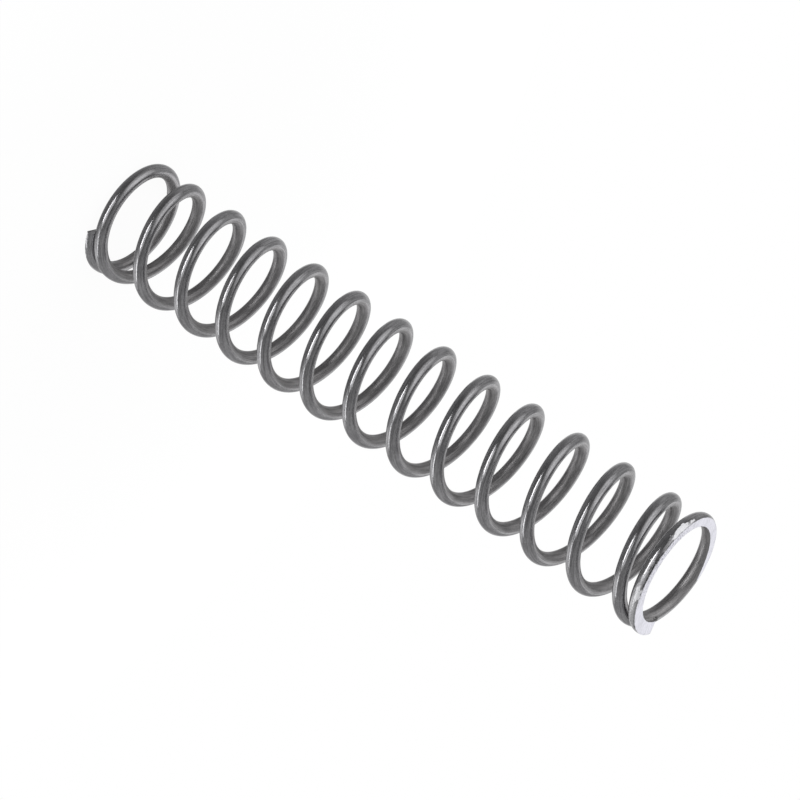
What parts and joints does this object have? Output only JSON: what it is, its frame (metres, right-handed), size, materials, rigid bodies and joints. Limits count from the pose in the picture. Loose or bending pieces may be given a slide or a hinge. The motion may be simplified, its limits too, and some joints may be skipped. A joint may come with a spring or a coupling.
{
  "type": "compression spring",
  "caption": "Slim cylindrical compression spring of round steel wire, coiled right-hand, with closed ends ground flat so that it stands square.",
  "frame": {"origin": "on the axis of the coil, in the plane of the lower ground end", "axes": "+Z along the coil's axis from the lower ground end to the upper one; the lower wire tip starts on +X and the wire climbs anticlockwise seen from above"},
  "size_m": [0.0092, 0.0092, 0.0507],
  "materials": {
    "spring_steel": "dark drawn spring-steel wire, semi-gloss with fine drawing lines; both end faces freshly ground, pale and matt"
  },
  "bodies": {
    "root": {"spring": "spring_steel"}
  },
  "joints": []
}
